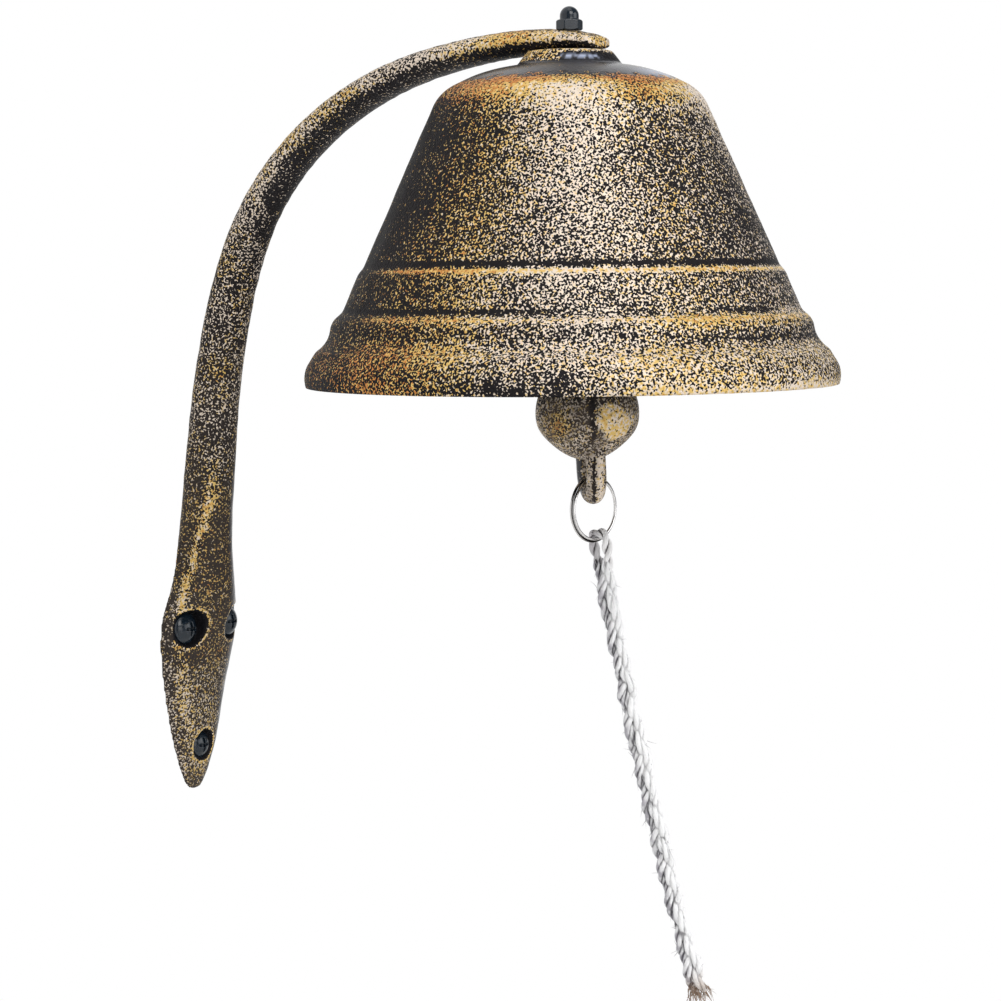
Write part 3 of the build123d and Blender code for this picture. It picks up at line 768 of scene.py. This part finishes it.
def paintBellWearAndLight(bell, verts, isOuter):
    wearAndLight = bellWearAndLight
    h = (verts[:, 2] - bellShape["lip"]) / mm
    psi = photoTurn(verts)
    # the wear table, read between its rows and columns
    byTurn = np.stack([np.interp(psi, wearAndLight["turns"], row) for row in wearAndLight["gold"]])
    heights, at = np.array(wearAndLight["heights"]), np.arange(len(h))
    slot = np.clip(np.searchsorted(heights, h) - 1, 0, len(heights) - 2)
    part = np.clip((h - heights[slot]) / (heights[slot + 1] - heights[slot]), 0, 1)
    rub = byTurn[slot, at] * (1 - part) + byTurn[slot + 1, at] * part
    body, shoulder, lip = (np.interp(psi, wearAndLight["turns"], row) for row in wearAndLight["warmth"].values())
    onShoulder, onLip = smoothStep(80, 84, h), smoothStep(15, 12, h)
    warmth = body * (1 - onShoulder - onLip) + shoulder * onShoulder + lip * onLip
    # thin bright ridges along the two ledges with a painted shade line in the crease above each, and a wider
    # gold band under the lower
    fromLeft = smoothStep(-72, -50, psi) * smoothStep(130, 80, psi)
    lowRidge, highRidge = wearAndLight["ridges"]
    ridge = bump(h, lowRidge, 0.7) * 0.45 + bump(h, highRidge, 0.55) * 0.95
    goldBand = bump(h, wearAndLight["band"], 2.2) * (0.02 + 0.24 * smoothStep(5, 30, psi))
    # painted shade: dark lines in the creases above the ledges and in the lip's cove
    lipLine, lowLine, highLine = wearAndLight["creaseShadeLines"]
    lowStrength = 1 - 0.95 * smoothStep(-25, 0, psi) + 0.7 * bump(psi, 44, 11)
    dark = bump(h, highLine, 0.65) + bump(h, lowLine, 0.6) * lowStrength
    dark = dark + bump(h, lipLine, 1.0) * 0.35 * smoothStep(10, 35, psi)
    ledgeEnd = bump(h, 22.6, 1.3) * smoothStep(48, 64, psi)
    # on the lower lip, brushed streaks between the left end and the middle
    brushed = smoothStep(7.5, 3.5, h) * smoothStep(-40, -28, psi) * smoothStep(14, 4, psi)
    streaks = waves(np.stack([psi * mm, 0 * psi, 0 * psi], 1), 1.3 * mm, 4)
    patchy = waves(verts, 20 * mm, 11) * 0.04
    rub = rub + patchy + 0.3 * ledgeEnd + (ridge + goldBand) * fromLeft - 0.8 * dark + 0.18 * brushed * streaks
    # the crown over the shoulder is smooth paint, and so is a worn place on the boss
    crownFoot, crownFull = wearAndLight["crown"]
    bossFoot, bossFull = wearAndLight["boss"]
    bare = smoothStep(crownFoot, crownFull, h + 0.6 * waves(verts, 3 * mm, 12)) * smoothStep(95.6, bossFoot, h)
    boss = smoothStep(bossFoot, bossFull, h)
    worn = boss * smoothStep(-14, -4, psi + 4 * waves(verts, 3 * mm, 15)) * smoothStep(98.0, 97.4, h)
    streak = worn * bump(h, 96.4, 0.55) * smoothStep(42, 28, psi)
    haze = bare * bump(psi, 60, 17) * smoothStep(93.5, 91.5, h)  # where the crown catches the light
    # painted highlight and reflection: a pale bluish streak on the boss's worn place, and a haze where the
    # crown catches the light
    scuff = streak * smoothStep(-0.5, 0.3, waves(verts, 2.2 * mm, 16)) + 0.6 * haze
    sheen = bare * (1 - 0.5 * bump(psi, -2, 30)) + streak  # the crown's paint is duller in one place
    rub = rub * (1 - boss) + boss * (0.5 - 0.9 * worn + 0.3 * bump(h, 98.6, 0.5))
    rub = np.where(isOuter, np.clip(rub - 1.2 * bare, -0.5, 1.3), -0.5)
    warmth = warmth * (1 - boss) + boss * (0.42 - 0.2 * smoothStep(-30, 0, psi))
    warmth = warmth + (0.35 * ridge + 0.8 * goldBand) * fromLeft
    warmth = warmth + 0.55 * smoothStep(86.8, 88.8, h) * (1 - boss)
    giveValues(bell, rub=rub, warmth=np.clip(warmth, -0.2, 1), brown=0.05, scuff=scuff * isOuter,
               bare=np.clip(sheen, 0, 1) * isOuter)


def makeBell():
    shape = bellShape
    profile, outerRows = bellProfile()
    turn = np.linspace(0, tau, shape["columns"], endpoint=False)
    r, h = profile.T * mm
    verts = np.stack([
        r[:, None] * np.cos(turn)[None, :],
        shape["axisY"] + r[:, None] * np.sin(turn)[None, :],
        np.broadcast_to((shape["lip"] + h)[:, None], (len(r), len(turn))),
    ], -1).reshape(-1, 3)
    isOuter = np.repeat(np.arange(len(r)) < outerRows, len(turn))
    out = verts - np.array([0, shape["axisY"], 0])
    out[:, 2] = 0
    lump = waves(verts, 14 * mm, 5) * shape["lumps"] * isOuter * (np.linalg.norm(out, axis=1) > 20 * mm)
    verts = verts - unit(out) * np.abs(lump)[:, None]
    faces = gridFaces(len(r), len(turn), closeRows=True)
    bell = newPiece("bellCast", verts, faces, "root", "bronzed_iron", castMetal)
    paintBellWearAndLight(bell, verts, isOuter)
    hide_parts("bell")


makeBell()
print("bell done")


# The bracket, the clapper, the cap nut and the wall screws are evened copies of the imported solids

bracketLook = {
    "voxel": 0.75 * mm,
    "smoothing": 4,
    "curveCentre": (-150 * mm, 30 * mm),  # y and z of the middle of the neck's sweep
    "tipFrom": -148.0 * mm,  # the tongue is drawn in a little past here
    "tipDraw": 0.88,
    "ridge": {  # the worn line down the pad's left shoulder, by height: its place across and its strength
        "z": [-43, -33, -20, -8, 2.5, 11.8, 21.4, 28, 33, 41, 47, 58, 68],
        "across": [0.4, -1.15, -1.84, -2.3, -2.43, -1.37, 1.61, 3.4, 5.2, 7.5, 8.8, 10.2, 11.0],
        "strength": [0, 0.35, 0.4, 0.3, 0.75, 1, 1, 1, 0.9, 0.8, 0.65, 0.4, 0],
    },
    "ridgeWidth": 1.6,
    "holes": [(-11.0, 0.0, 5.8), (11.0, 0.0, 5.8), (0.0, -40.0, 4.9)],  # x, z and radius in millimetres
    "lumps": 0.10 * mm,
}


def makeBracket():
    look = bracketLook
    piece = evenedPiece("bracket", "bracketCast", "root", castMetal,
                        look["voxel"], look["smoothing"])
    p, n = meshPoints(piece.data), meshNormals(piece.data)
    lumps = np.abs(waves(p, 9 * mm, 3) * look["lumps"]) * (p[:, 1] < -0.5 * mm)  # not on the flat back
    p = p - n * lumps[:, None]
    p[:, 1] -= np.minimum(p[:, 1] - look["tipFrom"], 0) * (1 - look["tipDraw"])
    piece.data.vertices.foreach_set("co", p.ravel())
    cy, cz = look["curveCentre"]
    out = np.stack([0 * p[:, 0], p[:, 1] - cy, p[:, 2] - cz], 1)
    facing = (n * unit(out)).sum(1)  # 1 on the neck's outer side, -1 on its inner one
    x, y, z = (p / mm).T
    # the neck: flecked over its outer side and back, bare in a thin line along the top and on the inner side
    low = smoothStep(155, 105, z)  # lower down the flecks reach right round
    flecked = smoothStep(-0.62, -0.12, facing + 0.08 * waves(p, 7 * mm, 9) + 0.82 * low)
    flecked = flecked * (1 - 0.95 * smoothStep(0.9, 0.98, facing))
    tongue = smoothStep(-100, -120, y)
    # painted shade: fewer flecks on the tongue's underside
    lower = bump(y, -146, 5.0) * smoothStep(-0.05, -0.25, facing)
    arm = -0.05 + (0.62 - 0.31 * low) * flecked - 0.35 * smoothStep(-157.5, -159, y)
    arm = arm + tongue * (0.25 - 0.5 * lower) * smoothStep(-0.5, 0.0, facing)
    armWarmth = 0.1 + 0.2 * waves(p, 13 * mm, 14) + 0.5 * tongue - 0.3 * smoothStep(-140, -150, y)
    # the pad: the worn line, then orange flecks on its face, and pale ones on its left side and below
    onPad = smoothStep(62, 36, z)
    track, width = look["ridge"], look["ridgeWidth"] * (1 + 0.6 * smoothStep(25, 45, z))
    ridge = bump(p @ photoRight / mm - np.interp(z, track["z"], track["across"]), 0, width)
    ridge = ridge * smoothStep(0.0, 0.35, -(n @ photoAhead)) * np.interp(z, track["z"], track["strength"])
    below = smoothStep(-6, -18, z)
    leftSide, rightSide = smoothStep(-0.55, -0.8, n[:, 0]), smoothStep(0.1, 0.45, n[:, 0])
    pad = 0.15 + 0.2 * below - 0.04 * leftSide - 0.4 * rightSide - 0.1 * smoothStep(-46, -54, z)
    pad = pad + 0.07 * waves(p, 5 * mm, 21) + ridge * (0.72 + 0.35 * waves(p, 4.5 * mm, 23))
    rims, inside = 0, 0
    for hx, hz, radius in look["holes"]:
        away = np.hypot(x - hx, z - hz)
        outward = (n[:, 0] * (x - hx) + n[:, 2] * (z - hz)) / np.maximum(away, 0.1)
        face = smoothStep(0.75, 0.45, outward)  # 0 on the pad's own side wall
        rims = rims + bump(away, radius + 0.75, 0.45) * face
        inside = inside + smoothStep(radius + 0.55, radius + 0.25, away) * face
    inside = np.clip(inside, 0, 1)
    worn = np.clip(rims + ridge, 0, 1)
    rub = arm * (1 - onPad) + pad * onPad + waves(p, 16 * mm, 8) * 0.04 + 0.9 * rims
    rub = np.where(y > -0.3, -0.5, rub * (1 - inside) - 0.5 * inside)
    padWarmth = 0.5 - 0.22 * below - 0.35 * leftSide * smoothStep(16, 8, z)
    warmth = armWarmth * (1 - onPad) + padWarmth * onPad
    warmth = warmth * (1 - worn) + 0.42 * worn
    bare = 0.25 * smoothStep(-0.3, -0.6, facing) * (1 - onPad) * (1 - low) + 0.8 * rightSide * onPad
    brown = (0.12 + 0.2 * smoothStep(110, 60, z)) * (1 - onPad) + onPad * (0.5 + 0.2 * smoothStep(-44, -52, z))
    brown = brown * (1 - 0.85 * worn) * (1 - 0.8 * tongue) * (1 - inside)
    giveValues(piece, rub=np.clip(rub, -0.5, 1.2), warmth=np.clip(warmth, -0.2, 1), bare=np.clip(bare, 0, 1),
               brown=brown)


makeBracket()
print("bracket done")

clapperLook = {  # places across the ball are millimetres along the photograph's right
    "voxel": 0.5 * mm,
    "smoothing": 3,
    "flatten": 2.0 * mm,  # how far the ball's underside is drawn up
    "patch": (-4.4 * mm, -161.9 * mm, 70.2 * mm),  # middle of the rubbed place on the ball
    "patchSize": 6.3 * mm,
    "seam": 129.4,
    "legSeam": 129.8,
    "legGold": 131.7,
    "frontLeg": 128.2,
    "farLeg": 126.4,  # the far leg lies to the left of this
}


def makeClapper():
    look = clapperLook
    piece = evenedPiece("clapper", "clapperCast", "clapper", castMetal,
                        look["voxel"], look["smoothing"])
    p, n = meshPoints(piece.data), meshNormals(piece.data)
    # the ball is flattened below: its underside is drawn up, and the legs under it follow
    z = p[:, 2] / mm
    p[:, 2] += look["flatten"] * smoothStep(71, 60, z) * smoothStep(50, 60, z)
    piece.data.vertices.foreach_set("co", p.ravel())
    across, z = p @ photoRight / mm, p[:, 2] / mm
    facing = smoothStep(0.1, 0.4, -(n @ photoAhead))
    # the rubbed place on the ball, and an orange spot
    away = np.linalg.norm((p - look["patch"]) @ np.stack([photoRight, [0, 0, 1]], 1), axis=1)
    away = away + 0.7 * mm * waves(p, 5 * mm, 33)
    patch = smoothStep(look["patchSize"], 0.72 * look["patchSize"], away) * facing
    ember = bump(across, 118.5, 3.5) * bump(z, 69, 4.5) * facing
    # the eye's near leg has a gold edge and a pale side, and the far one is smooth paint
    onLeg = smoothStep(60.5, 58.5, z)
    legGold = bump(across, look["legGold"], 1.25) * onLeg * facing
    frontLeg = bump(across, look["frontLeg"], 1.1) * onLeg * facing
    farLeg = smoothStep(look["farLeg"] + 0.3, look["farLeg"] - 0.3, across)
    farLeg = farLeg * smoothStep(58.3, 57.3, z) * smoothStep(40, 47, z)
    # a dark seam runs down the ball and the leg
    seam = bump(across, look["seam"] + 0.7 * waves(p, 6 * mm, 34), 0.9) * smoothStep(61, 67, z) * facing * 0.7
    seam = seam + bump(across, look["legSeam"], 0.35) * onLeg * facing
    # painted shade: fewer flecks and a darker tone under the bell's lip
    shadeUnderLip = smoothStep(75.5, 78.5, z)
    rub = 0.52 + 0.08 * waves(p, 6 * mm, 31) + 0.75 * (patch + legGold) + 0.3 * frontLeg
    rub = rub - 1.1 * seam - 0.9 * farLeg - 0.4 * shadeUnderLip * (1 - patch)
    warmth = 0.12 + 0.2 * patch - 0.1 * legGold - 0.2 * frontLeg + 0.6 * ember
    brown = np.clip(0.7 + 0.3 * waves(p, 5 * mm, 5), 0, 1)
    brown = brown * (1 - 0.9 * np.clip(seam, 0, 1)) * (1 - 0.6 * shadeUnderLip)
    brown = brown * (1 - patch) * (1 - np.clip(legGold, 0, 1)) * (1 - farLeg)
    giveValues(piece, rub=np.clip(rub, -0.5, 1.1), warmth=np.clip(warmth, 0, 1), brown=brown, bare=farLeg)


makeClapper()
print("clapper done")


evenedFasteners = {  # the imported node, the piece that stands for it, its voxel and its smoothing
    "cap_nut": ("capNut", 0.16 * mm, 4),
    "wall_screw_left": ("WallScrewLeft", 0.25 * mm, 2),
    "wall_screw_right": ("WallScrewRight", 0.25 * mm, 2),
    "wall_screw_lower": ("WallScrewLower", 0.25 * mm, 2),
}
for node, (name, voxel, smoothing) in evenedFasteners.items():
    evenedPiece(node, name, "root", blackEnamel, voxel, smoothing)

for name in ("hanger_bolt", "crown_washer", "crown_nut"):
    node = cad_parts[name]
    node.data.materials.clear()
    node.data.materials.append(zincSteel)

threads = {  # foot, direction, length, core radius, pitch and ridge radius in millimetres
    "boltThread": ((0, -145, 161.2), (0, 0, 1), 28.8, 1.93, 0.7, 0.17, "bright_steel", zincSteel),
    "leftScrewThread": ((-11, 1.0, 0), (0, 1, 0), 26.0, 1.72, 1.8, 0.36, "black_paint", blackEnamel),
    "rightScrewThread": ((11, 1.0, 0), (0, 1, 0), 26.0, 1.72, 1.8, 0.36, "black_paint", blackEnamel),
    "lowerScrewThread": ((0, 1.0, -40), (0, 1, 0), 26.0, 1.72, 1.8, 0.36, "black_paint", blackEnamel),
}
threadShape = {
    "pointFrom": 0.88,  # a screw narrows to its point over the last part of its thread
    "pointTaper": 0.72,
    "perTurn": 22,  # rings in a turn
    "sides": 6,
}


def makeThreads():
    # A thread is a ridge wound round its rod as a helix, run out thin at both ends
    look = threadShape
    for name, (foot, way, length, core, pitch, ridge, slotName, metal) in threads.items():
        foot, way = np.array(foot, float), np.array(way, float)
        turns = length / pitch
        t = np.linspace(0, 1, int(turns * look["perTurn"]))
        a = (t * turns * tau)[:, None]
        side = np.array([1.0, 0, 0])
        narrow = 1 if way[2] else 1 - look["pointTaper"] * smoothStep(look["pointFrom"], 1.12, t)[:, None]
        ring = np.cos(a) * side + np.sin(a) * np.cross(way, side)
        path = foot + way * length * t[:, None] + core * narrow * ring
        thick = ridge * smoothStep(0, 0.02, t) * smoothStep(1.0, 0.97, t) + 0.02
        tube = closedTube(path * mm, (thick * mm)[:, None, None], look["sides"], way)
        newPiece(name, *tube, "root", slotName, metal)


makeThreads()
print("fasteners done")

ringShape = {
    "centre": (5.2 * mm, -149.532 * mm, 43.1 * mm),
    "normal": (0.21303, 0.977046, 0.0),
    "start": (-0.33, 0.072, 0.9415),  # the wire's ends lie up here, by the clapper's eye
    "radius": 9.4 * mm,
    "wire": 0.41 * mm,
    "pitch": 0.62 * mm,
    "turns": 2,
    "rings": 420,
    "sides": 16,
}


def makePullRing():
    look = ringShape
    centre, normal, start = map(np.array, (look["centre"], look["normal"], look["start"]))
    other = np.cross(normal, start)
    turn = np.linspace(0, tau * look["turns"], look["rings"])[:, None]
    rise = (turn / tau - look["turns"] / 2) * look["pitch"]
    path = centre + (look["radius"] + rise) * (np.cos(turn) * start + np.sin(turn) * other) + rise * normal
    verts, faces = closedTube(path, look["wire"], look["sides"], normal)
    ring = newPiece("pullRing", verts, faces, "ring", "bright_steel", brightSteel)
    # painted shade where the two turns lie against each other
    height = (verts[:-2].reshape(len(path), -1, 3) - path[:, None, :]) @ normal / look["wire"]
    inner = np.where(turn < tau * look["turns"] / 2, height, -height)
    giveValues(ring, groove=np.concatenate([smoothStep(0.45, 0.9, inner).ravel(), [1, 1]]))
    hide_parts("pull_ring")


makePullRing()
print("ring done")


# Wall and floor behind the object, and the lights

studio = {
    "wall": 3.0,  # half the wall's width
    "wallY": 0.0004,  # just behind the pad's back
    "floor": -0.42,
    "white": (0.9, 0.9, 0.9),
    "paper": ((0.80, 0.80, 0.79), (0.84, 0.84, 0.83)),
    "paperScale": 30.0,
    "glow": 0.72,  # how far the floor shows its own colour whatever its light
    "sky": (0.95, 0.97, 1.0),
    "skyLight": 0.2,
}


def makeBackdrop(name, corners, roughness, glowColour):
    # A sheet that is clear from behind. Its look gives way to a plain glow, by the socket returned last
    material, nodes, links, shader = newMaterial(name)
    glow, clear = nodes.new("ShaderNodeEmission"), nodes.new("ShaderNodeBsdfTransparent")
    glowing, hidden = nodes.new("ShaderNodeMixShader"), nodes.new("ShaderNodeMixShader")
    for mix, first, second in ((glowing, shader, glow), (hidden, glowing, clear)):
        links.new(first.outputs[0], mix.inputs[1])
        links.new(second.outputs[0], mix.inputs[2])
    links.new(nodes.new("ShaderNodeNewGeometry").outputs["Backfacing"], hidden.inputs[0])
    links.new(hidden.outputs[0], nodes["Material Output"].inputs[0])
    shader.inputs["Roughness"].default_value = roughness
    glow.inputs["Color"].default_value = (*glowColour, 1)
    mesh = bpy.data.meshes.new(name)
    mesh.from_pydata(corners, [], [(0, 1, 2, 3)])
    mesh.materials.append(material)
    sheet = bpy.data.objects.new(name, mesh)
    scene.collection.objects.link(sheet)
    return nodes, links, shader.inputs["Base Color"], glowing.inputs[0]


def makeStudio():
    w, y, f = studio["wall"], studio["wallY"], studio["floor"]
    corners = [(-w, y, f), (w, y, f), (w, y, f + 2 * w), (-w, y, f + 2 * w)]
    nodes, links, colour, glow = makeBackdrop("studioWall", corners, 0.9, (1, 1, 1))
    ray = nodes.new("ShaderNodeLightPath").outputs
    seen = mathNode(nodes, links, "MAXIMUM", ray["Is Camera Ray"], ray["Is Glossy Ray"])
    links.new(mathNode(nodes, links, "MAXIMUM", seen, ray["Is Transmission Ray"]), glow)
    feed(links, colour, studio["white"])
    # the floor is pale from every side, and still takes the shadow
    corners = [(-w, -w, f), (w, -w, f), (w, w, f), (-w, w, f)]
    nodes, links, colour, glow = makeBackdrop("studioFloor", corners, 0.8, studio["white"])
    ray = nodes.new("ShaderNodeLightPath").outputs
    links.new(mathNode(nodes, links, "MULTIPLY", ray["Is Camera Ray"], studio["glow"]), glow)
    grain = noiseNode(nodes, links, None, studio["paperScale"], 2.0)
    feed(links, colour, mixColour(nodes, links, grain, *studio["paper"]))


makeStudio()

lamps = {  # turn from the camera in degrees (+ to its right), height in degrees, distance, size, watts, colour
    "key": (24, 38, 1.5, 0.9, 12.2, (1.0, 0.99, 0.97)),
    "low": (20, 0, 1.5, 0.7, 3.0, (1.0, 0.99, 0.98)),
    "fill": (74, 12, 1.5, 1.1, 9.0, (0.97, 0.98, 1.0)),
    "top": (10, 80, 1.4, 0.8, 3.0, (1.0, 1.0, 1.0)),
}


def makeLights():
    target = np.array([0, bellShape["axisY"], 0.06])
    for name, (turn, rise, away, size, watts, colour) in lamps.items():
        turn, rise = np.radians(turn), np.radians(rise)
        level = -np.cos(turn) * photoAhead + np.sin(turn) * photoRight
        toward = np.cos(rise) * level + np.sin(rise) * np.array([0, 0, 1])
        data = bpy.data.lights.new(name, "AREA")
        data.shape, data.size, data.energy, data.color = "SQUARE", size, watts, colour
        lamp = bpy.data.objects.new(name, data)
        scene.collection.objects.link(lamp)
        side = unit(np.cross([0, 0, 1], toward))
        matrix = np.eye(4)
        matrix[:3, 0], matrix[:3, 1], matrix[:3, 2] = side, np.cross(toward, side), toward
        matrix[:3, 3] = target + away * toward
        lamp.matrix_world = matrix.T.tolist()
    world = bpy.data.worlds.new("studio")
    scene.world = world
    world.use_nodes = True
    nodes, links = world.node_tree.nodes, world.node_tree.links
    sky = nodes["Background"]
    ray = nodes.new("ShaderNodeLightPath")
    seen = mathNode(nodes, links, "MAXIMUM", ray.outputs["Is Camera Ray"], ray.outputs["Is Transmission Ray"])
    white = nodes.new("ShaderNodeBackground")
    mix = nodes.new("ShaderNodeMixShader")
    sky.inputs["Color"].default_value = (*studio["sky"], 1)
    sky.inputs["Strength"].default_value = studio["skyLight"]
    links.new(seen, mix.inputs[0])
    links.new(sky.outputs[0], mix.inputs[1])
    links.new(white.outputs[0], mix.inputs[2])
    white.inputs["Color"].default_value = (1, 1, 1, 1)
    links.new(mix.outputs[0], nodes["World Output"].inputs[0])


makeLights()
scene.view_settings.view_transform = "Standard"
print("studio done")
